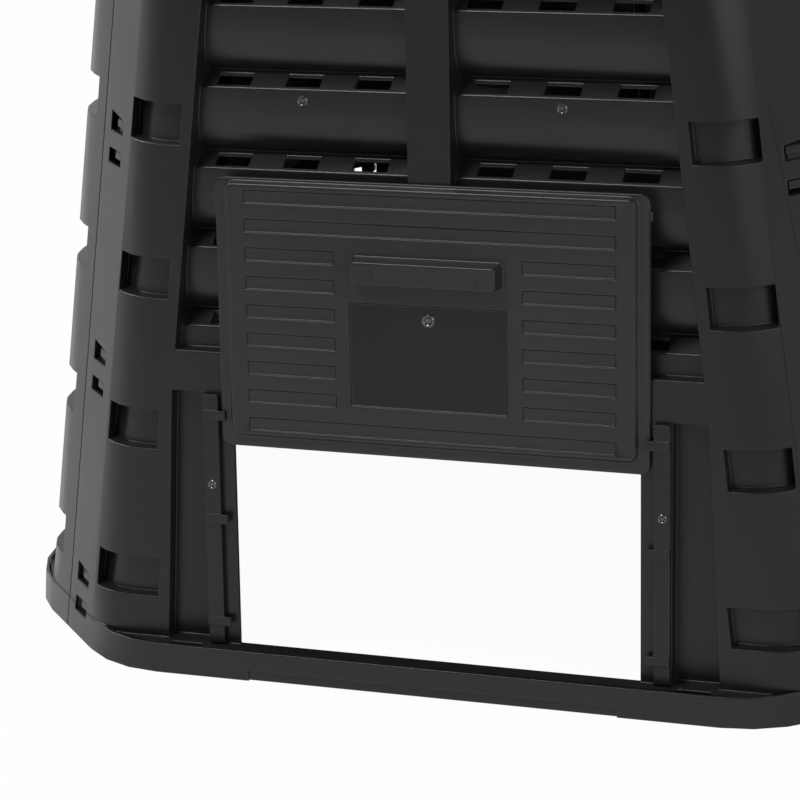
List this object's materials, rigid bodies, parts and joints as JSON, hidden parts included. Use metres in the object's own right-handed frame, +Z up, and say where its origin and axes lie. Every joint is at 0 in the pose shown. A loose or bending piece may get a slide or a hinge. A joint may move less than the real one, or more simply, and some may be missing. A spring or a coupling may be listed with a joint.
{
  "type": "compost bin with lid",
  "caption": "Tapered square garden compost bin of interlocking louvred walls with chamfered corner columns, a sliding harvest door in clip rails and a hinged lid.",
  "frame": {"origin": "centre of the foot on the ground", "axes": "+Z up, the harvest door faces -Y, +X is to the right as seen from the door"},
  "size_m": [0.72, 0.72, 0.82],
  "materials": {
    "wall_plastic": "fine satin grain, near black, moulded",
    "door_plastic": "fine satin grain, charcoal, moulded",
    "lid_plastic": "fine satin grain, near black, moulded"
  },
  "bodies": {
    "bin": {"wall_front": "wall_plastic", "wall_back": "wall_plastic", "wall_right": "wall_plastic", "wall_left": "wall_plastic", "door_rail_left": "wall_plastic", "door_rail_right": "wall_plastic", "lid_hinge_pin_left": "lid_plastic", "lid_hinge_pin_right": "lid_plastic"},
    "door": {"harvest_door": "door_plastic"},
    "lid": {"lid": "lid_plastic"}
  },
  "joints": [
    {"name": "door_slide", "type": "slide", "parent": "bin", "child": "door", "axis": [0, 0.1162, 0.9932], "range_m": [-0.148, 0.01]},
    {"name": "lid_hinge", "type": "hinge", "parent": "bin", "child": "lid", "pos_m": [0, 0.272, 0.728], "axis": [-1, 0, 0], "range_deg": [0, 105]}
  ]
}
